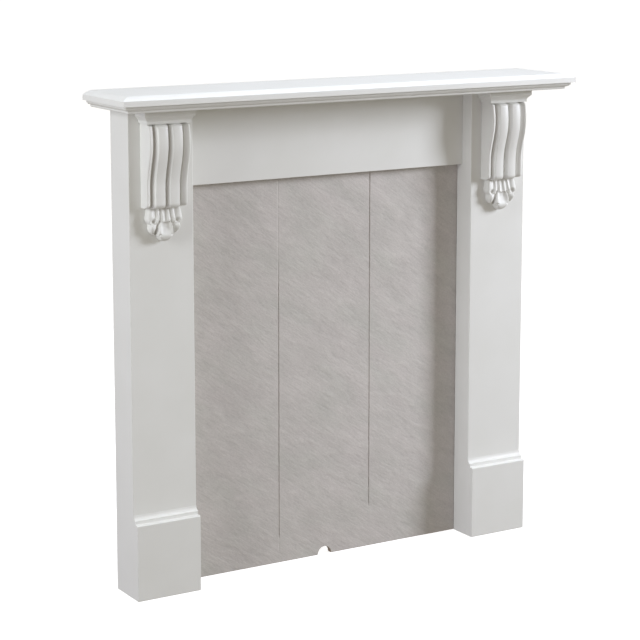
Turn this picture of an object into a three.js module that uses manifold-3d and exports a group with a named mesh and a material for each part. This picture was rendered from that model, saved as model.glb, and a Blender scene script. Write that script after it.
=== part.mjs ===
// A fireplace mantelpiece: a moulded shelf on two box legs with corbels and plinths, a frieze, and a
// grooved stone-effect back panel. Millimetres, +Z up, the floor at Z = 0, the front towards -Y.
import * as THREE from "three";
import { mergeVertices } from "three/addons/utils/BufferGeometryUtils.js";
import Module from "manifold-3d";

const wasm = await Module();
wasm.setup();

// Gap left between pieces that touch
const gap = 0.3;

// Legs: boxes folded from board, open at the back
const legWidth = 161;
const legDepth = 91;
const legHeight = 1125.4;
const legBoard = 18;

// Frieze between the legs, set back from their fronts, and the panel behind it
const friezeSetback = 37;
const friezeThickness = 22;
const friezeHeight = 186.4;
const panelThickness = 15;
const panelLap = 38;
const grooveWidth = 4;
const grooveDepth = 2;
const notchRadius = 19;
const notchSides = 20;

// Shelf: the top board and the moulded board under it
const shelfLength = 1220;
const shelfOverhang = 66;
const shelfDepth = 210;
const shelfThickness = 22;
const shelfBevelWidth = 23;
const shelfBevelDrop = 9.5;
const shelfBevelPower = 1.5;
const bedThickness = 16;
const bedSetback = 9.2;
const bedFilletHeight = 4;
const bedOvoloHeight = 5.4;
const bedOvoloDepth = 5.2;
const bedOvoloBow = 0.5;
const bedStep = 4;
const bedRoundDepth = 2.8;

// Plinths: the block, the ledge on it, and the fillet and cove that die into the leg
const plinthHeight = 198;
const plinthProjection = 20.5;
const plinthBlockHeight = 179;
const plinthChamfer = 2;
const plinthFilletProjection = 9.5;
const plinthFilletHeight = 8.5;
const plinthLip = 1;

// Corbel cap
const capWidth = 126;
const capProjection = 51.5;
const capFasciaHeight = 15;
const capCoveHeight = 11;
const capCovePower = 1.3;
const capStep = 8.5;
const capFilletHeight = 6;

// Corbel body: four rolls on an S-shaped front
const bodyWidth = 102;
const bodyHeight = 189.4;
const headProjection = 38;
const bulgeProjection = 47.5;
const footProjection = 29.5;
const bulgeDrop = 45.4;
const waistDrop = 143.4;
const edgeRollWidth = 15;
const edgeRollRise = 2;
const wideRollRise = 6;
const rollGroove = 8.5;
const rollEndDrop = 5;
const rollEndShare = 0.2;
const capTongue = 3;

// Corbel leaf under the body
const leafHeight = 78;
const leafRoot = -0.08;
const foldEnd = 0.02;
const foldRim = 0.01;

// Round stretches
const arcSteps = 5;
const bodyRows = 15;
const foldRows = 6;
const foldSides = 8;

// What follows from the sizes above
const legSpan = shelfLength - 2 * shelfOverhang;
const legBack = shelfDepth / 2;
const legFront = legBack - legDepth;
const friezeFront = legFront + friezeSetback;
const friezeFoot = legHeight - friezeHeight;
const returnDepth = friezeSetback + friezeThickness;
const openingHalf = legSpan / 2 - legWidth;
const legCentre = legSpan / 2 - legWidth / 2;
const bedFoot = legHeight + gap;
const shelfFoot = bedFoot + bedThickness + gap;
const capHeight = capFasciaHeight + capCoveHeight + capFilletHeight;
const bodyTop = legHeight - capHeight;
const wideRollWidth = bodyWidth / 2 - edgeRollWidth;

const paint = new THREE.MeshStandardMaterial({ color: 0xe4e4df, roughness: 0.45, metalness: 0 });
const stone = new THREE.MeshStandardMaterial({ color: 0xaaa6a2, roughness: 0.75, metalness: 0 });

// Closed geometry from rings of equal length: each ring runs along the front, then back along the rear
function loftGeometry(rings) {
  const count = rings[0].length;
  const positions = rings.flat(2);
  const faces = [];
  for (let row = 0; row + 1 < rings.length; row += 1) {
    for (let i = 0; i < count; i += 1) {
      const next = (i + 1) % count;
      const a = row * count + i;
      const b = row * count + next;
      faces.push(a, b, b + count, a, b + count, a + count);
    }
  }
  const last = (rings.length - 1) * count;
  for (let i = 0; i + 1 < count / 2; i += 1) {
    const j = count - 1 - i;
    faces.push(i, j, j - 1, i, j - 1, i + 1);
    faces.push(last + i, last + i + 1, last + j - 1, last + i, last + j - 1, last + j);
  }
  const geometry = new THREE.BufferGeometry();
  geometry.setAttribute("position", new THREE.Float32BufferAttribute(positions, 3));
  geometry.setIndex(faces);
  return geometry;
}

// Closed geometry as a solid that can be joined and cut
function solidOf(geometry) {
  const bare = geometry.clone();
  bare.deleteAttribute("normal");
  bare.deleteAttribute("uv");
  const merged = mergeVertices(bare);
  const vertProperties = Float32Array.from(merged.attributes.position.array);
  const triVerts = Uint32Array.from(merged.index.array);
  return new wasm.Manifold(new wasm.Mesh({ numProp: 3, vertProperties, triVerts }));
}

function geometryOf(solid) {
  const { vertProperties, triVerts } = solid.getMesh();
  const geometry = new THREE.BufferGeometry();
  geometry.setAttribute("position", new THREE.Float32BufferAttribute(vertProperties, 3));
  geometry.setIndex(Array.from(triVerts));
  geometry.computeVertexNormals();
  return geometry;
}

function boxSolid(width, depth, height, x, y, z) {
  return solidOf(new THREE.BoxGeometry(width, depth, height).translate(x, y, z));
}

function meshOf(name, geometry, material, x = 0, y = 0, z = 0) {
  const mesh = new THREE.Mesh(geometry, material);
  mesh.name = name;
  mesh.position.set(x, y, z);
  return mesh;
}

// A board whose front and ends follow a profile of [setback, height] pairs, listed from the foot up
function mouldedBoard(length, depth, profile) {
  const rings = profile.map(([setback, z]) => {
    const half = length / 2 - setback;
    const front = -depth / 2 + setback;
    const back = depth / 2;
    return [[-half, front, z], [half, front, z], [half, back, z], [-half, back, z]];
  });
  return loftGeometry(rings);
}

// The shelf's top edge falls in a shallow curve to a plain vertical edge
function shelfProfile() {
  const profile = [[0, 0]];
  for (let i = 0; i <= arcSteps; i += 1) {
    const share = i / arcSteps;
    const fall = shelfBevelDrop * (1 - share) ** shelfBevelPower;
    profile.push([shelfBevelWidth * share, shelfThickness - fall]);
  }
  return profile;
}

// A quarter round, a step out, an ovolo and a fillet, from the foot of the bed board up
function bedProfile() {
  const roundHeight = bedThickness - bedFilletHeight - bedOvoloHeight;
  const roundSetback = bedSetback + bedOvoloDepth + bedStep;
  const profile = [];
  for (let i = 0; i <= arcSteps; i += 1) {
    const angle = (Math.PI / 2) * (i / arcSteps);
    profile.push([roundSetback + bedRoundDepth * (1 - Math.sin(angle)), roundHeight * (1 - Math.cos(angle))]);
  }
  for (let i = 0; i <= arcSteps; i += 1) {
    const share = i / arcSteps;
    const reach = share + bedOvoloBow * share * (1 - share);
    profile.push([bedSetback + bedOvoloDepth * (1 - reach), roundHeight + bedOvoloHeight * share]);
  }
  profile.push([bedSetback, bedThickness]);
  return profile;
}

// A leg seen from above: front board, outer return to the wall and shorter inner return
function legGeometry(side) {
  const outer = side * (legSpan / 2);
  const inner = side * openingHalf;
  const outerSkin = outer - side * legBoard;
  const innerSkin = inner + side * legBoard;
  const outline = new THREE.Shape([
    new THREE.Vector2(outer, legFront),
    new THREE.Vector2(outer, legBack),
    new THREE.Vector2(outerSkin, legBack),
    new THREE.Vector2(outerSkin, legFront + legBoard),
    new THREE.Vector2(innerSkin, legFront + legBoard),
    new THREE.Vector2(innerSkin, legFront + returnDepth),
    new THREE.Vector2(inner, legFront + returnDepth),
    new THREE.Vector2(inner, legFront),
  ]);
  return new THREE.ExtrudeGeometry(outline, { depth: legHeight, bevelEnabled: false });
}

function friezeGeometry() {
  const width = 2 * (openingHalf - gap);
  const geometry = new THREE.BoxGeometry(width, friezeThickness, friezeHeight);
  return geometry.translate(0, friezeFront + friezeThickness / 2, friezeFoot + friezeHeight / 2);
}

// The panel seen from above, with a V-groove a third of the opening in from each side
function panelSolid() {
  const half = openingHalf + panelLap;
  const front = legFront + returnDepth + gap;
  const back = front + panelThickness;
  const outline = [new THREE.Vector2(-half, front)];
  for (const centre of [-openingHalf / 3, openingHalf / 3]) {
    outline.push(new THREE.Vector2(centre - grooveWidth / 2, front));
    outline.push(new THREE.Vector2(centre, front + grooveDepth));
    outline.push(new THREE.Vector2(centre + grooveWidth / 2, front));
  }
  outline.push(new THREE.Vector2(half, front));
  outline.push(new THREE.Vector2(half, back));
  outline.push(new THREE.Vector2(-half, back));
  const slab = new THREE.ExtrudeGeometry(new THREE.Shape(outline), { depth: legHeight, bevelEnabled: false });
  const cutter = new THREE.CylinderGeometry(notchRadius, notchRadius, 3 * panelThickness, 2 * notchSides);
  cutter.translate(0, (front + back) / 2, 0);
  return solidOf(slab).subtract(solidOf(cutter));
}

// The plinth's end profile, as [projection from the leg, height] pairs
function plinthProfile() {
  const ledge = plinthBlockHeight;
  const coveFoot = ledge + plinthFilletHeight;
  const profile = [[0, 0], [plinthProjection, 0], [plinthProjection, ledge - plinthChamfer]];
  profile.push([plinthProjection - plinthChamfer, ledge]);
  profile.push([plinthFilletProjection, ledge]);
  profile.push([plinthFilletProjection, coveFoot]);
  for (let i = 1; i <= arcSteps; i += 1) {
    const angle = (Math.PI / 2) * (i / arcSteps);
    const projection = plinthFilletProjection - (plinthFilletProjection - plinthLip) * Math.sin(angle);
    profile.push([projection, coveFoot + (plinthHeight - coveFoot) * (1 - Math.cos(angle))]);
  }
  profile.push([0, plinthHeight]);
  return profile;
}

function plinthGeometry() {
  const front = legFront - gap;
  const points = plinthProfile().map(([projection, z]) => new THREE.Vector2(front - projection, z));
  const outline = new THREE.Shape(points);
  const geometry = new THREE.ExtrudeGeometry(outline, { depth: legWidth, bevelEnabled: false });
  geometry.rotateZ(Math.PI / 2);
  geometry.rotateY(Math.PI / 2);
  return geometry.translate(-legWidth / 2, 0, 0);
}

// How far the body's side edge stands off the leg, a given drop below the cap
function edgeProjection(drop) {
  if (drop <= bulgeDrop) {
    const share = 1 - drop / bulgeDrop;
    return bulgeProjection - (bulgeProjection - headProjection) * share * share;
  }
  const share = Math.min(1, (drop - bulgeDrop) / (waistDrop - bulgeDrop));
  const ease = (1 - Math.cos(Math.PI * share)) / 2;
  return bulgeProjection - (bulgeProjection - footProjection) * ease;
}

// The four rolls across the body, each as its left edge, width, rise and point count
function bodyRolls() {
  const left = -bodyWidth / 2;
  return [
    { from: left, width: edgeRollWidth, rise: edgeRollRise, points: 5, outer: -1 },
    { from: left + edgeRollWidth, width: wideRollWidth, rise: wideRollRise, points: 10, outer: 0 },
    { from: 0, width: wideRollWidth, rise: wideRollRise, points: 10, outer: 0 },
    { from: wideRollWidth, width: edgeRollWidth, rise: edgeRollRise, points: 5, outer: 1 },
  ];
}

// A roll's section: 0 at its foot, 1 at its crest, steep near the grooves
function rollSection(across) {
  return Math.sqrt(Math.max(0, 1 - Math.abs(across) ** 2.2));
}

// One row of the body: [x, rise over the side edge, share of the roll's end drop]
function bodyRow() {
  const row = [];
  for (const roll of bodyRolls()) {
    for (let i = 0; i < roll.points; i += 1) {
      const across = -1 + (2 * i) / (roll.points - 1);
      const foot = roll.outer !== 0 && Math.sign(across) === roll.outer ? 0 : -rollGroove;
      const section = rollSection(across);
      const x = roll.from + (roll.width * (1 + across)) / 2;
      if (i === 0 && row.length > 0) continue;
      row.push([x, foot + (roll.rise - foot) * section, roll.outer === 0 ? section : 0]);
    }
  }
  return row;
}

function bodySolid() {
  const row = bodyRow();
  const rings = [];
  for (let i = 0; i <= bodyRows; i += 1) {
    const drop = (bodyHeight * (bodyRows - i)) / bodyRows;
    const edge = edgeProjection(drop);
    const endShare = Math.max(0, (drop / bodyHeight - 1 + rollEndShare) / rollEndShare);
    const front = row.map(([x, rise, end]) => [x, -edge - rise, -drop - rollEndDrop * end * endShare]);
    const back = row.map(([x, , end]) => [x, 0, -drop - rollEndDrop * end * endShare]).reverse();
    rings.push([...front, ...back]);
  }
  rings.push(rings[bodyRows].map(([x, y]) => [x, y, capTongue]));
  return solidOf(loftGeometry(rings));
}

// The cap: a fascia over a shallow cove and a fillet, on the front and both ends
function capSolid() {
  const profile = [[capStep, 0]];
  for (let i = 0; i <= arcSteps; i += 1) {
    const share = i / arcSteps;
    profile.push([capStep * (1 - share ** capCovePower), capFilletHeight + capCoveHeight * share]);
  }
  profile.push([0, capHeight]);
  const rings = profile.map(([setback, z]) => {
    const half = capWidth / 2 - setback;
    const front = -capProjection + setback;
    return [[-half, front, z], [half, front, z], [half, 0, z], [-half, 0, z]];
  });
  return solidOf(loftGeometry(rings));
}

// One fold of the leaf: a domed ridge on the leg's face. Its ends are given as shares of the body's half
// width and of the leaf's height, its width as a share of that half width, its crest as a share of the foot's
function foldSolid({ from, to, width, crest, tipWidth = 0.35, tipCrest = 0.8 }) {
  const reach = bodyWidth / 2;
  const [x0, z0] = [from[0] * reach, -from[1] * leafHeight];
  const [x1, z1] = [to[0] * reach, -to[1] * leafHeight];
  const length = Math.hypot(x1 - x0, z1 - z0);
  const along = [(x1 - x0) / length, (z1 - z0) / length];
  const rings = [];
  for (let i = 0; i <= foldRows; i += 1) {
    const share = i / foldRows;
    const round = Math.sqrt(Math.max(foldEnd, 1 - (2 * share - 1) ** 4));
    const half = width * reach * round * (1 - (1 - tipWidth) * share ** 2);
    const height = crest * footProjection * (1 + round) * 0.5 * (1 - (1 - tipCrest) * share);
    const front = [];
    for (let j = 0; j <= foldSides; j += 1) {
      const angle = Math.PI * (1 - j / foldSides);
      const across = half * Math.cos(angle);
      const x = x0 + along[0] * length * share - along[1] * across;
      const z = z0 + along[1] * length * share + along[0] * across;
      front.push([x, -height * Math.sqrt(Math.sin(angle)) - foldRim, z]);
    }
    const back = front.map(([x, , z]) => [x, 0, z]).reverse();
    rings.unshift([...front, ...back]);
  }
  return solidOf(loftGeometry(rings));
}

// The leaf: a blade and a tip, and each way two ribs that fan out from under the rolls, an ear and a lobe
function leafSolid() {
  const folds = [
    { from: [0, leafRoot], to: [0, 0.5], width: 0.6, crest: 0.55, tipWidth: 0.8 },
    { from: [0, 0.34], to: [0, 1], width: 0.32, crest: 0.72, tipWidth: 0.75, tipCrest: 1.1 },
  ];
  const sideFolds = [
    { from: [0.13, leafRoot], to: [0.15, 0.42], width: 0.09, crest: 0.7, tipWidth: 0.9, tipCrest: 1.05 },
    { from: [0.34, leafRoot], to: [0.46, 0.46], width: 0.1, crest: 0.68, tipWidth: 0.9, tipCrest: 1 },
    { from: [0.54, leafRoot], to: [0.58, 0.47], width: 0.3, crest: 0.6, tipWidth: 0.8 },
    { from: [0.38, 0.34], to: [0.44, 0.79], width: 0.31, crest: 0.66, tipWidth: 0.8 },
  ];
  for (const fold of sideFolds) {
    folds.push(fold);
    folds.push({ ...fold, from: [-fold.from[0], fold.from[1]], to: [-fold.to[0], fold.to[1]] });
  }
  return folds.map(foldSolid).reduce((whole, fold) => whole.add(fold));
}

// Cap, body and leaf as one moulding, its back flat, its top at the cap's top
function corbelGeometry() {
  const cap = capSolid();
  const body = bodySolid();
  const leaf = leafSolid().translate([0, 0, -bodyHeight]);
  const space = boxSolid(2 * capWidth, capWidth, 3 * bodyHeight, 0, -capWidth / 2, 0);
  return geometryOf(cap.add(body).add(leaf).intersect(space));
}

const mantelpiece = new THREE.Group();
const top = new THREE.Group();
const shelfBoard = mouldedBoard(shelfLength, shelfDepth, shelfProfile());
const bedBoard = mouldedBoard(shelfLength, shelfDepth, bedProfile());
top.add(meshOf("mantel_shelf", shelfBoard, paint, 0, 0, shelfFoot));
top.add(meshOf("bed_mould_board", bedBoard, paint, 0, 0, bedFoot));
top.add(meshOf("frieze_board", friezeGeometry(), paint));
mantelpiece.add(top);

for (const [name, side] of [["left", -1], ["right", 1]]) {
  const legGroup = new THREE.Group();
  legGroup.add(meshOf(`leg_${name}`, legGeometry(side), paint));
  legGroup.add(meshOf(`plinth_${name}`, plinthGeometry(), paint, side * legCentre));
  legGroup.add(meshOf(`corbel_${name}`, corbelGeometry(), paint, side * legCentre, legFront - gap, bodyTop));
  mantelpiece.add(legGroup);
}

mantelpiece.add(meshOf("back_panel", geometryOf(panelSolid()), stone));

export default mantelpiece;
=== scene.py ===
# A painted fireplace mantelpiece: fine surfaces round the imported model, its finishes, light and camera.
# Sizes are in millimetres, and meshes become metres as they are made. +Z is up and the front is -Y.
import math

import bmesh
import bpy
import numpy as np
import openvdb
from mathutils import Euler, Matrix, Vector


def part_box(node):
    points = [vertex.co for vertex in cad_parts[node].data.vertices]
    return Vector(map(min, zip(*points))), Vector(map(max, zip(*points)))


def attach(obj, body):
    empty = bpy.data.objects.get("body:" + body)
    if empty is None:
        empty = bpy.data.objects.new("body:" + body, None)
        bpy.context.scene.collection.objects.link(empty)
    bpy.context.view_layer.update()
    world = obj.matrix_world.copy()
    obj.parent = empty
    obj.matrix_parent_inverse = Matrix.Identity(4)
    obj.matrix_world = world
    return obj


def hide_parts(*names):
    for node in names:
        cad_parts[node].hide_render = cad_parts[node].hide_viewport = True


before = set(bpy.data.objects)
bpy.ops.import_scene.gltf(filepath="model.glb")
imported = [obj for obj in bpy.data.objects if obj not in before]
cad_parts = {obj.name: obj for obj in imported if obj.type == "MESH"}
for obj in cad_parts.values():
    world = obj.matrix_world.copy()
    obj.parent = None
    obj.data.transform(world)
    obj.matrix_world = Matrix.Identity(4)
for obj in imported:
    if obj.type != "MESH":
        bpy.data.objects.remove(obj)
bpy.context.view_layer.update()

MM = 0.001

# Softened edges of painted board
ARRIS = 1.0
LEG_ARRIS = 2.5
ARRIS_STEPS = 4
SHARP_TURN = math.radians(28)
ARC_STEPS = 18
SMOOTH_ANGLE = math.radians(38)
EASE_LIMIT = 2.2

# Shelf and the moulded board under it
SHELF_BEVEL_WIDTH = 23
SHELF_BEVEL_DROP = 9.5
SHELF_BEVEL_POWER = 1.5
BED_SETBACK = 9.2
BED_FILLET_HEIGHT = 4
BED_OVOLO_HEIGHT = 5.4
BED_OVOLO_DEPTH = 5.2
BED_OVOLO_BOW = 0.5
BED_STEP = 4
BED_ROUND_DEPTH = 2.8

# Legs and plinths
LEG_BOARD = 18
PLINTH_BLOCK_HEIGHT = 179
PLINTH_CHAMFER = 2
PLINTH_FILLET_PROJECTION = 9.5
PLINTH_FILLET_HEIGHT = 8.5
PLINTH_LIP = 1

# Corbel cap
CAP_PROJECTION = 51.5
CAP_FASCIA_HEIGHT = 15
CAP_COVE_HEIGHT = 11
CAP_COVE_POWER = 1.3
CAP_FILLET_HEIGHT = 6
CAP_STEP = 8.5
CAP_HEIGHT = CAP_FASCIA_HEIGHT + CAP_COVE_HEIGHT + CAP_FILLET_HEIGHT

# Corbel body: four rolls on an S-shaped front
BODY_WIDTH = 102
BODY_HEIGHT = 189.4
HEAD_PROJECTION = 42.5
BULGE_PROJECTION = 47.5
FOOT_PROJECTION = 29.5
BULGE_DROP = 45.4
WAIST_DROP = 143.4
EDGE_ROLL_WIDTH = 15
EDGE_ROLL_CREST = 4
EDGE_ROLL_RISE = 2
EDGE_ROLL_TURN = 3.5
INNER_HALF = BODY_WIDTH / 2 - EDGE_ROLL_WIDTH
CREST_HALF = BODY_WIDTH / 2 - EDGE_ROLL_CREST
ROLL_SHOULDER = 1.5
ROLL_CUSHION = 4.5
GROOVE_FALL = 10
GROOVE_REACH = 7
GROOVE_POWER = 1.2
ROLL_END_LENGTH = 9
ROLL_END_DROP = 4
ROLL_END_PROJECTION = 14
ROLL_NECK = 2
ROLL_HEAD_LENGTH = 6
ROLL_HEAD_TUCK = 9
BODY_ROWS = 72
ROLL_COLUMNS = 14

# Corbel leaf, in plan: curves of three [distance from the middle, drop] points, and radii along them
LEAF_CELL = 0.8
LEAF_HALF_WIDTH = 48
LEAF_HEIGHT = 79
LEAF_DEPTH = 30
LEAF_ROOT = 9
LEAF_BLEND = 3
LEAF_EDGE_ROUND = 5
LEAF_FACE_SCALE = 0.8
STEM_CURVE = [(0, -LEAF_ROOT), (0, 20), (0, 50)]
STEM_RADII = (26, 22)
EAR_CURVE = [(24, 2), (26, 12), (28, 24)]
EAR_RADII = (15, 15.5)
LOBE_CURVE = [(18, 40), (19, 43), (20, 46)]
LOBE_RADII = (17, 17)
TIP_CURVE = [(0, 56), (0, 60), (0, 63)]
TIP_RADII = (16, 15)
CURVE_STEPS = 25
FAR_AWAY = 1000

# The leaf's ribbed upper tier and its ledge
UPPER_PROJECTION = 12.5
UPPER_SLOPE = 0.21
INNER_RIB_PLACE = 6.5
INNER_RIB_SPREAD = 0.03
OUTER_RIB_PLACE = 17
OUTER_RIB_SPREAD = 0.12
OUTER_RIB_SWEEP = 0.02
OUTER_RIB_SWEEP_DROP = 20
RIB_RISE = 4
RIB_WIDTH = 3.4
EAR_PLACE = 35
EAR_WIDTH = 9
EAR_RISE = 4
EAR_HEAD = 4
EAR_SPAN = (22, 30)
EYE_PLACE = (30.5, 32.5)
EYE_RADIUS = 8
EYE_DEPTH = 7
EYE_EASE = (0.1, 1.3)
LEDGE_DROP = 32
LEDGE_FALL = 4
LEDGE_FALL_SPAN = (10, 20)
LEDGE_EASE = (-1.5, 2)

# The leaf's dished tip, its side lobes and the slits between them
TIP_PROJECTION = 23.5
TIP_SWELL = 1.5
TIP_SWELL_SPAN = (LEDGE_DROP, 58)
DISH_DEPTH = 7.5
DISH_HALF_WIDTH = 12
DISH_START = (LEDGE_DROP - 2, LEDGE_DROP + 3)
DISH_END = (42, 66)
NOSE_DROP = 60
NOSE_FALL = 0.8
NOSE_POWER = 2.4
LOBE_PROJECTION = 15.5
LOBE_RISE = 7.5
LOBE_RISE_SPAN = (16, 33)
LOBE_FALL = 7
LOBE_FALL_SPAN = (44, 62)
LOBE_END = (58, 66)
RIM_PLACE = 14.5
RIM_SPREAD = 3.5
RIM_SPAN = (LEDGE_DROP, 48)
RIM_EASE = (-1.5, 4)
SLIT_CURVES = ([(RIM_PLACE, LEDGE_DROP), (19, 45), (22, 60)], [(22, 60), (19, 62), (14, 62)])
SLIT_WIDTH = 1.7
SLIT_DEPTH = 4.5

# Back panel
PANEL_PITCH = 3.4
GROOVE_WIDTH = 4
GROOVE_DEPTH = 2
NOTCH_RADIUS = 19
NOTCH_STEPS = 24
NOTCH_REACH = 60
HEAD_ROW = 60
GROOVE_MARGIN = 0.8

# Where the panel's grooves start and fade
RIGHT_GROOVE_START = 96
RIGHT_GROOVE_FADE = 16
LEFT_GROOVE_START = 56
LEFT_GROOVE_FADE = 12
LEFT_TRACE_SHARE = 0.35
LEFT_TRACE_HEIGHT = 38
LEFT_TRACE_REACH = 14
LEFT_TOP_LOSS = 0.75
LEFT_TOP_SPAN = (620, 780)

# Riven relief: each layer's cell along and across the streaks, its weight and its seed
STREAK_SLANT = math.radians(-32)
STREAK_TURN = math.radians(34)
RELIEF_LAYERS = [(70, 34, 0.45, 2), (38, 13, 0.35, 3), (15, 6, 0.12, 4), (7, 5, 0.05, 5)]
DRIFT_LAYER = (60, 45, 9, 1)
RIDGE_LAYER = (46, 19, 0.4, 6)
RIDGE_POWER = 3
RELIEF_TOP = 1.4
RELIEF_DEPTH = 0.5
NOISE_TABLE_SIZE = 128

# Finishes
WHITE = (1, 1, 1, 1)
PAINT_DARK = (0.79, 0.785, 0.755)
PAINT_LIGHT = (0.815, 0.81, 0.785)
STONE_GREEN = (0.57, 0.549, 0.517)
STONE_GREY = (0.586, 0.554, 0.528)
STONE_PINK = (0.602, 0.563, 0.541)
FIBRE_DARK = (0.34, 0.27, 0.2)
FIBRE_LIGHT = (0.41, 0.33, 0.25)

# Camera, in metres
LENS = 113.46
SENSOR_WIDTH = 36
CAMERA_PLACE = (-2.4663, -3.9921, 1.5674)
CAMERA_YAW = math.radians(31.109)
CAMERA_PITCH = math.radians(-8.961)
CAMERA_SHIFT = -0.15
VIEW_REACH = 200

# Floor, in millimetres, and backdrop
FLOOR_COLOUR = (0.85, 0.85, 0.85, 1)
FLOOR_GLOW = 0.8
FLOOR_HALF = 60000
FLOOR_GAP = 1
WORLD_LOW = (0.33, 0.308, 0.247, 1)
WORLD_LEFT = (0.34, 0.318, 0.37, 1)
WORLD_LEFT_END = -0.9


def node_box(name):
    """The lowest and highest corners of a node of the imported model, in millimetres."""
    low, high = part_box(name)
    return np.array(low) / MM, np.array(high) / MM


def add_object(name, data):
    obj = bpy.data.objects.new(name, data)
    bpy.context.scene.collection.objects.link(obj)
    return obj


def mesh_object(name, vertices, faces, materials):
    """A mesh in the scene from places in millimetres, its faces turned outwards."""
    mesh = bpy.data.meshes.new(name)
    mesh.from_pydata((np.array(vertices, float) * MM).tolist(), [], faces)
    work = bmesh.new()
    work.from_mesh(mesh)
    bmesh.ops.recalc_face_normals(work, faces=work.faces)
    work.to_mesh(mesh)
    work.free()
    for material in materials:
        mesh.materials.append(material)
    return add_object(name, mesh)


def soften(obj):
    """Smooth shading that keeps broad faces flat and true corners crisp."""
    mesh = obj.data
    mesh.polygons.foreach_set("use_smooth", [True] * len(mesh.polygons))
    mesh.set_sharp_from_angle(angle=SMOOTH_ANGLE)
    weighted = obj.modifiers.new("flat_faces", "WEIGHTED_NORMAL")
    weighted.keep_sharp = True


def finished(obj, node):
    """Shades a piece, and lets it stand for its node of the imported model."""
    soften(obj)
    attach(obj, "root")
    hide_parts(node)


def loft(rings):
    """Vertices and faces of a closed form from rings of equal length."""
    count = len(rings[0])
    vertices = [point for ring in rings for point in ring]
    faces = []
    for row in range(len(rings) - 1):
        for i in range(count):
            a = row * count + i
            b = row * count + (i + 1) % count
            faces.append((a, b, b + count, a + count))
    last = (len(rings) - 1) * count
    faces.append(tuple(reversed(range(count))))
    faces.append(tuple(range(last, last + count)))
    return vertices, faces


def eased(points, radius=ARRIS, closed=True):
    """The same outline with each sharp corner rounded."""
    result = []
    count = len(points)
    for i, point in enumerate(points):
        point = np.array(point, float)
        before = point - np.array(points[i - 1], float)
        after = np.array(points[(i + 1) % count], float) - point
        before_length = np.linalg.norm(before)
        after_length = np.linalg.norm(after)
        cosine = before @ after / (before_length * after_length)
        turn = math.acos(max(-1.0, min(1.0, cosine)))
        end_point = not closed and i in (0, count - 1)
        if end_point or turn < SHARP_TURN:
            result.append(tuple(point))
            continue
        reach = min(radius * math.tan(turn / 2), before_length / EASE_LIMIT, after_length / EASE_LIMIT)
        start = point - before / before_length * reach
        end = point + after / after_length * reach
        for step in range(ARRIS_STEPS + 1):
            share = step / ARRIS_STEPS
            place = (1 - share) ** 2 * start + 2 * share * (1 - share) * point + share ** 2 * end
            result.append(tuple(place))
    return result


def quarter(steps=ARC_STEPS):
    """Angles from 0 to a right angle."""
    return [math.pi / 2 * step / steps for step in range(steps + 1)]


def moulded_board(low, high, profile):
    """A board with square back corners, whose front and ends follow [setback, height] pairs."""
    rings = []
    for setback, z in profile:
        left = low[0] + setback
        right = high[0] - setback
        front = low[1] + setback
        corners = [(left, high[1]), (left, front), (right, front), (right, high[1])]
        ring = [corners[0]]
        ring += eased(corners[:3], closed=False)[1:-1]
        ring += eased(corners[1:], closed=False)[1:-1]
        ring.append(corners[3])
        rings.append([(x, y, low[2] + z) for x, y in ring])
    return loft(rings)


def upright(outline, foot, top):
    """A form of constant plan, from an outline of [x, y] pairs."""
    return loft([[(x, y, z) for x, y in outline] for z in (foot, top)])


def shelf_board(material):
    low, high = node_box("mantel_shelf")
    thickness = high[2] - low[2]
    profile = [(0, 0)]
    for step in range(ARC_STEPS + 1):
        share = step / ARC_STEPS
        fall = SHELF_BEVEL_DROP * (1 - share) ** SHELF_BEVEL_POWER
        profile.append((SHELF_BEVEL_WIDTH * share, thickness - fall))
    rounded = eased([(SHELF_BEVEL_WIDTH, 0)] + profile, ARRIS / 2, closed=False)
    vertices, faces = moulded_board(low, high, rounded)
    board = mesh_object("shelf_board", vertices, faces, [material])
    finished(board, "mantel_shelf")


def bed_board(material):
    low, high = node_box("bed_mould_board")
    thickness = high[2] - low[2]
    # Its setbacks are measured from the shelf's outline
    shelf_low, shelf_high = node_box("mantel_shelf")
    low[:2] = shelf_low[:2]
    high[:2] = shelf_high[:2]
    round_height = thickness - BED_FILLET_HEIGHT - BED_OVOLO_HEIGHT
    round_setback = BED_SETBACK + BED_OVOLO_DEPTH + BED_STEP
    profile = []
    for angle in quarter():
        setback = round_setback + BED_ROUND_DEPTH * (1 - math.sin(angle))
        profile.append((setback, round_height * (1 - math.cos(angle))))
    for step in range(ARC_STEPS + 1):
        share = step / ARC_STEPS
        reach = share + BED_OVOLO_BOW * share * (1 - share)
        setback = BED_SETBACK + BED_OVOLO_DEPTH * (1 - reach)
        profile.append((setback, round_height + BED_OVOLO_HEIGHT * share))
    profile.append((BED_SETBACK, thickness))
    vertices, faces = moulded_board(low, high, eased(profile, ARRIS / 2, closed=False))
    board = mesh_object("bed_moulding", vertices, faces, [material])
    finished(board, "bed_mould_board")


def frieze(material):
    low, high = node_box("frieze_board")
    section = [(low[1], high[2]), (low[1], low[2]), (high[1], low[2]), (high[1], high[2])]
    rings = [[(x, y, z) for y, z in eased(section)] for x in (low[0], high[0])]
    vertices, faces = loft(rings)
    board = mesh_object("frieze", vertices, faces, [material])
    finished(board, "frieze_board")


def leg(side, sign, material):
    """A box folded from board, open at the back, its inner return shorter than its outer one."""
    low, high = node_box(f"leg_{side}")
    return_back = node_box("frieze_board")[1][1]
    outer = high[0] if sign > 0 else low[0]
    inner = low[0] if sign > 0 else high[0]
    outer_skin = outer - sign * LEG_BOARD
    inner_skin = inner + sign * LEG_BOARD
    front = low[1]
    outline = [
        (outer, front),
        (outer, high[1]),
        (outer_skin, high[1]),
        (outer_skin, front + LEG_BOARD),
        (inner_skin, front + LEG_BOARD),
        (inner_skin, return_back),
        (inner, return_back),
        (inner, front),
    ]
    vertices, faces = upright(eased(outline, LEG_ARRIS), low[2], high[2])
    box = mesh_object(f"box_leg_{side}", vertices, faces, [material])
    finished(box, f"leg_{side}")


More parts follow.
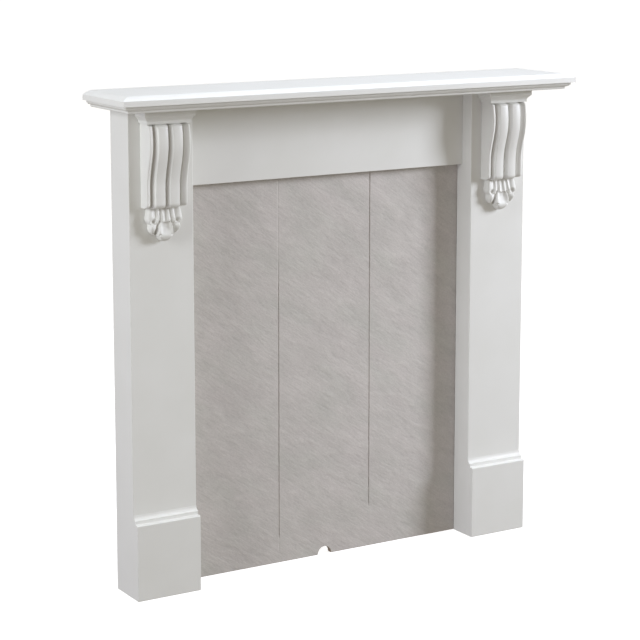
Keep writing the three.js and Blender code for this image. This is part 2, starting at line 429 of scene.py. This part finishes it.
def plinth(side, material):
    """Block, ledge, fillet and cove, with the block's front arrises eased at both ends."""
    low, high = node_box(f"plinth_{side}")
    back = high[1]
    projection = back - low[1]
    height = high[2] - low[2]
    cove_foot = PLINTH_BLOCK_HEIGHT + PLINTH_FILLET_HEIGHT
    profile = [(0, 0), (projection, 0), (projection, PLINTH_BLOCK_HEIGHT - PLINTH_CHAMFER)]
    profile.append((projection - PLINTH_CHAMFER, PLINTH_BLOCK_HEIGHT))
    profile.append((PLINTH_FILLET_PROJECTION, PLINTH_BLOCK_HEIGHT))
    for angle in quarter():
        reach = PLINTH_FILLET_PROJECTION - (PLINTH_FILLET_PROJECTION - PLINTH_LIP) * math.sin(angle)
        profile.append((reach, cove_foot + (height - cove_foot) * (1 - math.cos(angle))))
    profile.append((0, height))
    rounded = eased(profile, ARRIS)
    rings = []
    for end in (-1, 1):
        insets = []
        for angle in quarter(ARRIS_STEPS):
            insets.append((ARRIS * (1 - math.sin(angle)), ARRIS * (1 - math.cos(angle))))
        for draw, along in insets if end < 0 else reversed(insets):
            x = low[0] + along if end < 0 else high[0] - along
            rings.append([(x, back - max(0, reach - draw), low[2] + z) for reach, z in rounded])
    vertices, faces = loft(rings)
    block = mesh_object(f"plinth_block_{side}", vertices, faces, [material])
    finished(block, f"plinth_{side}")


def edge_projection(drop):
    """How far the body's side edge stands off the leg, a given drop below the cap."""
    if drop <= BULGE_DROP:
        share = 1 - drop / BULGE_DROP
        return BULGE_PROJECTION - (BULGE_PROJECTION - HEAD_PROJECTION) * share * share
    share = min(1, (drop - BULGE_DROP) / (WAIST_DROP - BULGE_DROP))
    ease = (1 - math.cos(math.pi * share)) / 2
    return BULGE_PROJECTION - (BULGE_PROJECTION - FOOT_PROJECTION) * ease


def roll_section(x):
    """How far the rolls stand over the body's side edge, a given distance from the middle."""
    across = abs(x)
    if across <= INNER_HALF:
        share = 2 * across / INNER_HALF - 1
        cushion = ROLL_SHOULDER + ROLL_CUSHION * (1 - share * share)
        into_groove = max(0, 1 - min(across, INNER_HALF - across) / GROOVE_REACH)
        return cushion - GROOVE_FALL * into_groove ** GROOVE_POWER
    if across <= CREST_HALF:
        share = (across - INNER_HALF) / (CREST_HALF - INNER_HALF)
        floor = ROLL_SHOULDER - GROOVE_FALL
        return floor + (EDGE_ROLL_RISE - floor) * (share + math.sin(math.pi / 2 * share)) / 2
    share = (across - CREST_HALF) / EDGE_ROLL_CREST
    return EDGE_ROLL_RISE - EDGE_ROLL_TURN * (1 - math.sqrt(max(0, 1 - share * share)))


def body_row():
    """Across the body: [x, rise over the side edge, share of the roll's end drop]."""
    places = [0]
    limits = (0, INNER_HALF / 2, INNER_HALF, CREST_HALF, BODY_WIDTH / 2)
    for start, end in zip(limits, limits[1:]):
        for i in range(1, ROLL_COLUMNS + 1):
            ease = (1 - math.cos(math.pi * i / ROLL_COLUMNS)) / 2
            places.append(start + (end - start) * ease)
    row = []
    for x in [-place for place in reversed(places[1:])] + places:
        share = abs(2 * abs(x) / INNER_HALF - 1)
        end_drop = math.sqrt(1 - share * share) if share < 1 else 0
        row.append((x, roll_section(x), end_drop))
    return row


def corbel_body():
    """The rolls: a recessed neck under the cap, rounded heads, and rounded lower ends."""
    row = body_row()
    rings = []
    drops = [BODY_HEIGHT * (1 - math.cos(math.pi * i / BODY_ROWS)) / 2 for i in range(BODY_ROWS + 1)]
    for drop in reversed(drops):
        edge = edge_projection(drop)
        end = max(0, 1 - (BODY_HEIGHT - drop) / ROLL_END_LENGTH)
        head = min(1, max(0, 1 - (drop - ROLL_NECK) / ROLL_HEAD_LENGTH))
        over = math.sqrt(max(0, 1 - end * end))
        tuck = ROLL_HEAD_TUCK * (1 - math.sqrt(max(0, 1 - head * head)))
        front = []
        for x, rise, end_share in row:
            full = edge + rise - tuck
            reach = ROLL_END_PROJECTION + (full - ROLL_END_PROJECTION) * over
            front.append((x, -reach, -drop - ROLL_END_DROP * end_share * end))
        rear = [(x, 0, z) for x, _, z in reversed(front)]
        rings.append(front + rear)
    return loft(rings)


def corbel_cap(width):
    """A fascia over a shallow cove and a fillet, on the front and both ends."""
    profile = [(CAP_STEP + ARRIS, 0), (CAP_STEP, 0)]
    for step in range(ARC_STEPS + 1):
        share = step / ARC_STEPS
        setback = CAP_STEP * (1 - share ** CAP_COVE_POWER)
        profile.append((setback, CAP_FILLET_HEIGHT + CAP_COVE_HEIGHT * share))
    profile.append((0, CAP_HEIGHT))
    low = np.array([-width / 2, -CAP_PROJECTION, 0])
    high = np.array([width / 2, 0, CAP_HEIGHT])
    return moulded_board(low, high, eased(profile, ARRIS, closed=False))


def smooth_union(a, b, blend):
    """The nearer of two distances, rounded where they meet."""
    overlap = np.maximum(blend - np.abs(a - b), 0) / blend
    return np.minimum(a, b) - overlap * overlap * blend / 4


def curve_distance(x, drop, path, radii=(0, 0)):
    """Distance to a curve of three points in the leaf's plan, less a radius that changes along it."""
    best = np.full(np.broadcast(x, drop).shape, FAR_AWAY)
    for step in range(CURVE_STEPS):
        share = step / (CURVE_STEPS - 1)
        weights = ((1 - share) ** 2, 2 * share * (1 - share), share ** 2)
        x_place = sum(weight * point[0] for weight, point in zip(weights, path))
        drop_place = sum(weight * point[1] for weight, point in zip(weights, path))
        radius = radii[0] * (1 - share) + radii[1] * share
        best = np.minimum(best, np.hypot(x - x_place, drop - drop_place) - radius)
    return best


def leaf_outline(x, drop):
    """Distance in plan to the leaf's edge: an ear and a lower lobe each side, and a tip."""
    outline = curve_distance(x, drop, STEM_CURVE, STEM_RADII)
    for curve, radii in ((EAR_CURVE, EAR_RADII), (LOBE_CURVE, LOBE_RADII), (TIP_CURVE, TIP_RADII)):
        outline = smooth_union(outline, curve_distance(x, drop, curve, radii), LEAF_BLEND)
    return outline


def step_up(value, start, end):
    """0 before the start, 1 past the end, eased between."""
    share = np.clip((value - start) / (end - start), 0, 1)
    return share * share * (3 - 2 * share)


def leaf_upper_tier(x, drop):
    """Stand-off of the tier above the ledge: a rising face, two ribs and an ear each side."""
    down = np.clip(drop, 0, None)
    sweep = OUTER_RIB_SWEEP * np.clip(down - OUTER_RIB_SWEEP_DROP, 0, None) ** 2
    upper = UPPER_PROJECTION + UPPER_SLOPE * down
    inner_rib = x - (INNER_RIB_PLACE + INNER_RIB_SPREAD * down)
    outer_rib = x - (OUTER_RIB_PLACE + OUTER_RIB_SPREAD * down + sweep)
    for rib in (inner_rib, outer_rib):
        upper = upper + RIB_RISE * np.exp(-((rib / RIB_WIDTH) ** 2))
    ear = np.exp(-(((x - EAR_PLACE) / EAR_WIDTH) ** 2)) * step_up(drop, -LEAF_ROOT, EAR_HEAD)
    return upper + EAR_RISE * ear * step_up(x, *EAR_SPAN)


def leaf_lower_tier(x, drop):
    """Stand-off of the tier below the ledge: the dished tip, its rim, and a lobe each side."""
    dish = DISH_DEPTH * np.exp(-((x / DISH_HALF_WIDTH) ** 4)) * step_up(drop, *DISH_START)
    swell = TIP_PROJECTION + TIP_SWELL * step_up(drop, *TIP_SWELL_SPAN)
    nose = np.clip((drop - NOSE_DROP) / (LEAF_HEIGHT - NOSE_DROP), 0, 1)
    tip = (swell - dish * (1 - step_up(drop, *DISH_END))) * np.sqrt(1 - NOSE_FALL * nose ** NOSE_POWER)
    lobe = LOBE_PROJECTION + LOBE_RISE * step_up(x, *LOBE_RISE_SPAN)
    lobe = lobe - LOBE_FALL * step_up(drop, *LOBE_FALL_SPAN)
    rim = RIM_PLACE + RIM_SPREAD * step_up(drop, *RIM_SPAN)
    return tip + (lobe - tip) * step_up(x - rim, *RIM_EASE) * (1 - step_up(drop, *LOBE_END))


def leaf_front(x, drop):
    """How far the leaf's face stands off the leg: two tiers with a ledge between, slits and eyes."""
    upper = leaf_upper_tier(x, drop)
    lower = leaf_lower_tier(x, drop)
    ledge = LEDGE_DROP + LEDGE_FALL * step_up(x, *LEDGE_FALL_SPAN)
    front = upper + (lower - upper) * step_up(drop, ledge + LEDGE_EASE[0], ledge + LEDGE_EASE[1])
    for curve in SLIT_CURVES:
        slit = curve_distance(x, drop, curve)
        front = front - SLIT_DEPTH * np.exp(-((slit / SLIT_WIDTH) ** 2))
    eye = np.hypot((x - EYE_PLACE[0]) / EYE_RADIUS, (drop - EYE_PLACE[1]) / EYE_RADIUS)
    return front - EYE_DEPTH * (1 - step_up(eye, *EYE_EASE))


def leaf_distance(x, stand_off, drop):
    """The leaf's field: its plan's edge and its face, rounded where they meet."""
    edge = leaf_outline(x, drop)
    face = (stand_off - leaf_front(x, drop)) * LEAF_FACE_SCALE
    shape = -smooth_union(-edge, -face, LEAF_EDGE_ROUND)
    return np.maximum(np.maximum(shape, -stand_off), -drop - LEAF_ROOT)


def corbel_leaf():
    """The leaf's field as a closed mesh."""
    margin = 3 * LEAF_CELL
    x_line = np.arange(-LEAF_HALF_WIDTH - margin, LEAF_HALF_WIDTH + margin, LEAF_CELL)
    stand_off_line = np.arange(-margin, LEAF_DEPTH + margin, LEAF_CELL)
    drop_line = np.arange(-LEAF_ROOT - margin, LEAF_HEIGHT + margin, LEAF_CELL)
    x, stand_off, drop = np.meshgrid(x_line, stand_off_line, drop_line, indexing="ij", sparse=True)
    distance = leaf_distance(np.abs(x), stand_off, drop)
    volume = openvdb.FloatGrid(background=float(LEAF_DEPTH))
    volume.copyFromArray(distance.astype(np.float32))
    points, triangles, quads = volume.convertToPolygons(isovalue=0.0, adaptivity=0.0)
    vertices = np.empty(points.shape)
    vertices[:, 0] = x_line[0] + points[:, 0] * LEAF_CELL
    vertices[:, 1] = -(stand_off_line[0] + points[:, 1] * LEAF_CELL)
    vertices[:, 2] = -(drop_line[0] + points[:, 2] * LEAF_CELL) - BODY_HEIGHT
    return vertices, triangles.tolist() + quads.tolist()


def joined(name, forms, material):
    """Closed forms joined into one skin."""
    parts = []
    for vertices, faces in forms:
        parts.append(mesh_object(f"{name}_{len(parts)}", vertices, faces, [material]))
    whole = parts[0]
    for part in parts[1:]:
        union = whole.modifiers.new("join", "BOOLEAN")
        union.operation = "UNION"
        union.solver = "MANIFOLD"
        union.object = part
    bpy.context.view_layer.update()
    graph = bpy.context.evaluated_depsgraph_get()
    mesh = bpy.data.meshes.new_from_object(whole.evaluated_get(graph))
    for part in parts:
        bpy.data.objects.remove(part)
    return mesh


def corbels(material):
    """Cap, body and leaf as one moulding, the same on both legs."""
    low, high = node_box("corbel_left")
    forms = [corbel_body(), corbel_cap(high[0] - low[0]), corbel_leaf()]
    mesh = joined("corbel", forms, material)
    for side in ("left", "right"):
        low, high = node_box(f"corbel_{side}")
        obj = add_object(f"scrolled_corbel_{side}", mesh.copy())
        place = Vector(((low[0] + high[0]) / 2, high[1], high[2] - CAP_HEIGHT)) * MM
        obj.data.transform(Matrix.Translation(place))
        finished(obj, f"corbel_{side}")


def lattice_noise(u, v, seed):
    """Smooth noise from -1 to 1 with one bump to each unit square."""
    size = NOISE_TABLE_SIZE
    table = np.random.default_rng(seed).uniform(-1, 1, (size, size))
    u_cell = np.floor(u).astype(int)
    v_cell = np.floor(v).astype(int)
    u_share = u - u_cell
    v_share = v - v_cell
    u_ease = u_share * u_share * (3 - 2 * u_share)
    v_ease = v_share * v_share * (3 - 2 * v_share)
    sides = []
    for row in (v_cell % size, (v_cell + 1) % size):
        left = table[u_cell % size, row]
        right = table[(u_cell + 1) % size, row]
        sides.append(left * (1 - u_ease) + right * u_ease)
    return sides[0] * (1 - v_ease) + sides[1] * v_ease


def layer_noise(along, across, layer):
    """One layer's noise and its weight."""
    length, width, weight, seed = layer
    return lattice_noise(along / length, across / width, seed), weight


def riven_relief(x, z):
    """How deep the panel's face lies behind its highest points: soft slanting streaks, like split slate."""
    along = x * math.cos(STREAK_SLANT) + z * math.sin(STREAK_SLANT)
    across = -x * math.sin(STREAK_SLANT) + z * math.cos(STREAK_SLANT)
    drift, weight = layer_noise(along, across, DRIFT_LAYER)
    across = across + weight * drift
    height = 0
    for layer in RELIEF_LAYERS:
        noise, weight = layer_noise(along, across, layer)
        height = height + weight * noise
    ridges, weight = layer_noise(along, across, RIDGE_LAYER)
    height = height + weight * (1 - np.abs(ridges)) ** RIDGE_POWER
    return RELIEF_DEPTH * (RELIEF_TOP - height)


def groove_share(place, z):
    """How much of a groove's depth is left at a height: faint at the foot, and the left one at the top."""
    if place > 0:
        return np.clip((z - RIGHT_GROOVE_START) / RIGHT_GROOVE_FADE, 0, 1)
    upper = np.clip((z - LEFT_GROOVE_START) / LEFT_GROOVE_FADE, 0, 1)
    trace = LEFT_TRACE_SHARE * np.clip(1 - np.abs(z - LEFT_TRACE_HEIGHT) / LEFT_TRACE_REACH, 0, 1)
    return np.maximum(upper, trace) * (1 - LEFT_TOP_LOSS * step_up(z, *LEFT_TOP_SPAN))


def panel_columns(half, groove_places):
    """Positions across the panel: even steps, finer at the notch, and a groove's edges and middle."""
    even = np.linspace(-half, half, int(2 * half / PANEL_PITCH) + 1)
    notch = [NOTCH_RADIUS * math.sin(math.pi * (i / NOTCH_STEPS - 0.5)) for i in range(NOTCH_STEPS + 1)]
    kept = [x for x in even if abs(x) > NOTCH_RADIUS + PANEL_PITCH / 2]
    columns = list(notch)
    for x in kept:
        if all(abs(x - place) > GROOVE_WIDTH / 2 + GROOVE_MARGIN for place in groove_places):
            columns.append(x)
    for place in groove_places:
        columns += [place - GROOVE_WIDTH / 2, place - GROOVE_WIDTH / 4, place]
        columns += [place + GROOVE_WIDTH / 4, place + GROOVE_WIDTH / 2]
    return np.array(sorted(columns))


def back_panel(face_material, board_material):
    """The riven face with its grooves and notch over a plain board, which has a material of its own."""
    low, high = node_box("back_panel")
    opening = node_box("frieze_board")[1][0]
    opening_top = node_box("frieze_board")[0][2]
    groove_places = (-opening / 3, opening / 3)
    columns = panel_columns(high[0], groove_places)
    row_count = int(opening_top / PANEL_PITCH)
    rows = np.append(np.linspace(0, opening_top, row_count), [opening_top + HEAD_ROW, high[2]])
    x, z = np.meshgrid(columns, rows, indexing="ij")
    notch_top = np.sqrt(np.clip(NOTCH_RADIUS ** 2 - x ** 2, 0, None))
    z = np.where(z < NOTCH_REACH, notch_top + z * (NOTCH_REACH - notch_top) / NOTCH_REACH, z)
    depth = riven_relief(x, z)
    for place in groove_places:
        share = np.clip(1 - np.abs(x - place) / (GROOVE_WIDTH / 2), 0, 1)
        depth = depth + GROOVE_DEPTH * share * groove_share(place, z)
    front = np.stack([x, low[1] + np.maximum(depth, 0), z], axis=-1).reshape(-1, 3)
    count = len(rows)
    last = len(columns) - 1
    vertices = front.tolist()
    rear_foot = len(vertices)
    vertices += [(x[i, 0], high[1], z[i, 0]) for i in range(last + 1)]
    rear_top = len(vertices)
    vertices += [(x[i, -1], high[1], z[i, -1]) for i in range(last + 1)]
    faces = []
    for i in range(last):
        for j in range(count - 1):
            a = i * count + j
            faces.append((a, a + count, a + count + 1, a + 1))
    face_count = len(faces)
    for i in range(last):
        foot = i * count
        faces.append((foot, rear_foot + i, rear_foot + i + 1, foot + count))
        top = foot + count - 1
        faces.append((top, top + count, rear_top + i + 1, rear_top + i))
        faces.append((rear_foot + i, rear_top + i, rear_top + i + 1, rear_foot + i + 1))
    for i in (0, last):
        edge = [i * count + j for j in range(count)]
        faces.append(tuple(edge + [rear_top + i, rear_foot + i]))
    obj = mesh_object("stone_effect_panel", vertices, faces, [face_material, board_material])
    for polygon in obj.data.polygons:
        polygon.material_index = 0 if polygon.index < face_count else 1
    relief = obj.data.attributes.new("relief", "FLOAT", "POINT")
    values = np.zeros(len(vertices), np.float32)
    values[: depth.size] = riven_relief(x, z).ravel()
    relief.data.foreach_set("value", values)
    finished(obj, "back_panel")


def new_material(name, roughness, specular):
    """A material, its nodes and its shader."""
    material = bpy.data.materials.new(name)
    material.use_nodes = True
    shader = material.node_tree.nodes["Principled BSDF"]
    shader.inputs["Roughness"].default_value = roughness
    shader.inputs["Specular IOR Level"].default_value = specular
    return material, material.node_tree, shader


def add_node(tree, kind, **values):
    """A node with its values set by name, an underscore standing for a space."""
    node = tree.nodes.new(kind)
    for name, value in values.items():
        node.inputs[name.replace("_", " ")].default_value = value
    return node


def add_noise(tree, place, scale, detail, stretch=None, turn=None):
    """Noise in the object's own space, in bumps to the metre, drawn out along turned axes if asked."""
    noise = add_node(tree, "ShaderNodeTexNoise", Scale=scale, Detail=detail)
    if stretch is None:
        tree.links.new(place, noise.inputs["Vector"])
        return noise
    mapping = tree.nodes.new("ShaderNodeMapping")
    mapping.vector_type = "TEXTURE"
    mapping.inputs["Scale"].default_value = stretch
    mapping.inputs["Rotation"].default_value = turn
    tree.links.new(place, mapping.inputs["Vector"])
    tree.links.new(mapping.outputs["Vector"], noise.inputs["Vector"])
    return noise


def add_ramp(tree, value, stops):
    """A colour ramp through [position, colour] stops."""
    ramp = tree.nodes.new("ShaderNodeValToRGB")
    while len(ramp.color_ramp.elements) < len(stops):
        ramp.color_ramp.elements.new(0.5)
    for element, (position, colour) in zip(ramp.color_ramp.elements, stops):
        element.position = position
        element.color = (*colour, 1)
    tree.links.new(value, ramp.inputs["Fac"])
    return ramp.outputs["Color"]


def add_tone_ramp(tree, value, stops):
    """A ramp of greys through [position, tone] stops."""
    return add_ramp(tree, value, [(position, (tone, tone, tone)) for position, tone in stops])


def mix_colours(tree, share, first, second):
    """A mix of two colours, each a value or another node's output."""
    mix = tree.nodes.new("ShaderNodeMixRGB")
    tree.links.new(share, mix.inputs["Fac"])
    for name, colour in (("Color1", first), ("Color2", second)):
        if isinstance(colour, tuple):
            mix.inputs[name].default_value = colour
        else:
            tree.links.new(colour, mix.inputs[name])
    return mix.outputs["Color"]


def add_bump(tree, height, strength, distance, normal=None):
    bump = add_node(tree, "ShaderNodeBump", Strength=strength, Distance=distance)
    tree.links.new(height, bump.inputs["Height"])
    if normal is not None:
        tree.links.new(normal, bump.inputs["Normal"])
    return bump.outputs["Normal"]


def white_paint():
    """Satin off-white paint: a faint orange peel and slight clouding."""
    material, tree, shader = new_material("satin_paint", roughness=0.42, specular=0.4)
    place = tree.nodes.new("ShaderNodeTexCoord").outputs["Object"]
    cloud = add_noise(tree, place, scale=9, detail=3)
    colour = add_ramp(tree, cloud.outputs["Fac"], [(0.3, PAINT_DARK), (0.7, PAINT_LIGHT)])
    tree.links.new(colour, shader.inputs["Base Color"])
    sheen = add_noise(tree, place, scale=60, detail=2)
    spread = add_node(tree, "ShaderNodeMapRange", To_Min=0.38, To_Max=0.48)
    tree.links.new(sheen.outputs["Fac"], spread.inputs["Value"])
    tree.links.new(spread.outputs["Result"], shader.inputs["Roughness"])
    peel = add_noise(tree, place, scale=420, detail=2)
    ripple = add_noise(tree, place, scale=90, detail=1)
    soft = add_bump(tree, ripple.outputs["Fac"], strength=0.12, distance=0.0004)
    normal = add_bump(tree, peel.outputs["Fac"], strength=0.18, distance=0.0001, normal=soft)
    tree.links.new(normal, shader.inputs["Normal"])
    return material


def stone_effect():
    """Grey riven stone print: pink and green clouds, with painted shade that leaves the high streaks pale
    and darkens the hollows.
    """
    material, tree, shader = new_material("riven_stone", roughness=0.62, specular=0.35)
    place = tree.nodes.new("ShaderNodeTexCoord").outputs["Object"]
    turn = (0, STREAK_TURN, 0)
    cloud = add_noise(tree, place, scale=14, detail=4, stretch=(1.9, 1, 1), turn=turn)
    stops = [(0.34, STONE_GREEN), (0.5, STONE_GREY), (0.66, STONE_PINK)]
    colour = add_ramp(tree, cloud.outputs["Fac"], stops)
    # Painted shade: the relief's depth scales the colour, lighter on the high streaks and darker in the
    # hollows
    relief = tree.nodes.new("ShaderNodeAttribute")
    relief.attribute_name = "relief"
    height = add_node(tree, "ShaderNodeMapRange", From_Min=0.15, From_Max=1.0, To_Min=1.06, To_Max=0.93)
    tree.links.new(relief.outputs["Fac"], height.inputs["Value"])
    shade = tree.nodes.new("ShaderNodeVectorMath")
    shade.operation = "SCALE"
    tree.links.new(colour, shade.inputs[0])
    tree.links.new(height.outputs["Result"], shade.inputs["Scale"])
    speck = add_noise(tree, place, scale=260, detail=3)
    speck_tone = add_tone_ramp(tree, speck.outputs["Fac"], [(0.35, 0.95), (0.65, 1.04)])
    mark = add_noise(tree, place, scale=170, detail=2, stretch=(4, 1, 1), turn=turn)
    mark_tone = add_tone_ramp(tree, mark.outputs["Fac"], [(0.34, 0.95), (0.43, 1), (0.6, 1), (0.68, 1.05)])
    colour = shade.outputs["Vector"]
    for tone in (speck_tone, mark_tone):
        tinted = tree.nodes.new("ShaderNodeVectorMath")
        tinted.operation = "MULTIPLY"
        tree.links.new(colour, tinted.inputs[0])
        tree.links.new(tone, tinted.inputs[1])
        colour = tinted.outputs["Vector"]
    tree.links.new(colour, shader.inputs["Base Color"])
    grain = add_noise(tree, place, scale=260, detail=4, stretch=(1.8, 1, 1), turn=turn)
    scored = add_bump(tree, mark.outputs["Fac"], strength=0.35, distance=0.002)
    normal = add_bump(tree, grain.outputs["Fac"], strength=0.25, distance=0.0006, normal=scored)
    tree.links.new(normal, shader.inputs["Normal"])
    return material


def bare_board():
    """The panel's plain back and edges: smooth grey-brown fibreboard."""
    material, tree, shader = new_material("bare_fibreboard", roughness=0.7, specular=0.3)
    place = tree.nodes.new("ShaderNodeTexCoord").outputs["Object"]
    fibre = add_noise(tree, place, scale=320, detail=4)
    colour = add_ramp(tree, fibre.outputs["Fac"], [(0.35, FIBRE_DARK), (0.65, FIBRE_LIGHT)])
    tree.links.new(colour, shader.inputs["Base Color"])
    normal = add_bump(tree, fibre.outputs["Fac"], strength=0.15, distance=0.0003)
    tree.links.new(normal, shader.inputs["Normal"])
    return material


def add_camera():
    data = bpy.data.cameras.new("camera")
    data.lens = LENS
    data.sensor_width = SENSOR_WIDTH
    data.shift_y = CAMERA_SHIFT
    data.clip_end = VIEW_REACH
    camera = add_object("camera", data)
    camera.location = CAMERA_PLACE
    camera.rotation_euler = Euler((math.pi / 2 + CAMERA_PITCH, 0, -CAMERA_YAW))
    bpy.context.scene.camera = camera


def add_light(name, place, target, size, power, colour):
    """A soft rectangular light: its place and size in metres, its power in watts."""
    data = bpy.data.lights.new(name, "AREA")
    data.color = colour
    data.shape = "RECTANGLE"
    data.size, data.size_y = size
    data.energy = power
    light = add_object(name, data)
    light.location = place
    direction = Vector(target) - Vector(place)
    light.rotation_euler = direction.to_track_quat("-Z", "Y").to_euler()


def add_floor():
    """A pale floor that glows a little, so that it stays as white as the backdrop."""
    material, _, shader = new_material("studio_floor", roughness=0.8, specular=0.2)
    shader.inputs["Base Color"].default_value = FLOOR_COLOUR
    shader.inputs["Emission Color"].default_value = WHITE
    shader.inputs["Emission Strength"].default_value = FLOOR_GLOW
    half = FLOOR_HALF
    corners = [(x, y, -FLOOR_GAP) for x, y in ((-half, -half), (half, -half), (half, half), (-half, half))]
    floor = mesh_object("floor", corners, [(0, 1, 2, 3)], [material])
    floor.visible_diffuse = False
    floor.visible_glossy = False


def add_world():
    """A white backdrop that lights the object softly, a little bluer from the left."""
    world = bpy.data.worlds.new("studio")
    world.use_nodes = True
    tree = world.node_tree
    background = tree.nodes["Background"]
    coordinates = tree.nodes.new("ShaderNodeTexCoord")
    split = tree.nodes.new("ShaderNodeSeparateXYZ")
    tree.links.new(coordinates.outputs["Generated"], split.inputs["Vector"])
    lobe = add_node(tree, "ShaderNodeMapRange", From_Min=0, From_Max=WORLD_LEFT_END)
    tree.links.new(split.outputs["X"], lobe.inputs["Value"])
    light = mix_colours(tree, lobe.outputs["Result"], WORLD_LOW, WORLD_LEFT)
    seen = tree.nodes.new("ShaderNodeLightPath")
    shown = mix_colours(tree, seen.outputs["Is Camera Ray"], light, WHITE)
    tree.links.new(shown, background.inputs["Color"])
    bpy.context.scene.world = world


paint = white_paint()
shelf_board(paint)
bed_board(paint)
frieze(paint)
for side, sign in (("left", -1), ("right", 1)):
    leg(side, sign, paint)
    plinth(side, paint)
corbels(paint)
back_panel(stone_effect(), bare_board())

add_camera()
add_floor()
add_world()
add_light(
    "key",
    place=(3.4, -2.2, 2.1),
    target=(0.1, 0, 0.7),
    size=(1.2, 1.4),
    power=156,
    colour=(0.86, 0.9, 1),
)
add_light(
    "fill",
    place=(-3.2, -0.6, 1.6),
    target=(-0.4, 0, 0.6),
    size=(1.4, 1.6),
    power=51.7,
    colour=(0.95, 0.996, 1),
)
add_light(
    "top",
    place=(0.2, -0.2, 2.7),
    target=(0.2, 0, 1.0),
    size=(2.2, 1.0),
    power=27,
    colour=(0.79, 0.86, 1),
)
bpy.context.scene.view_settings.view_transform = "Standard"
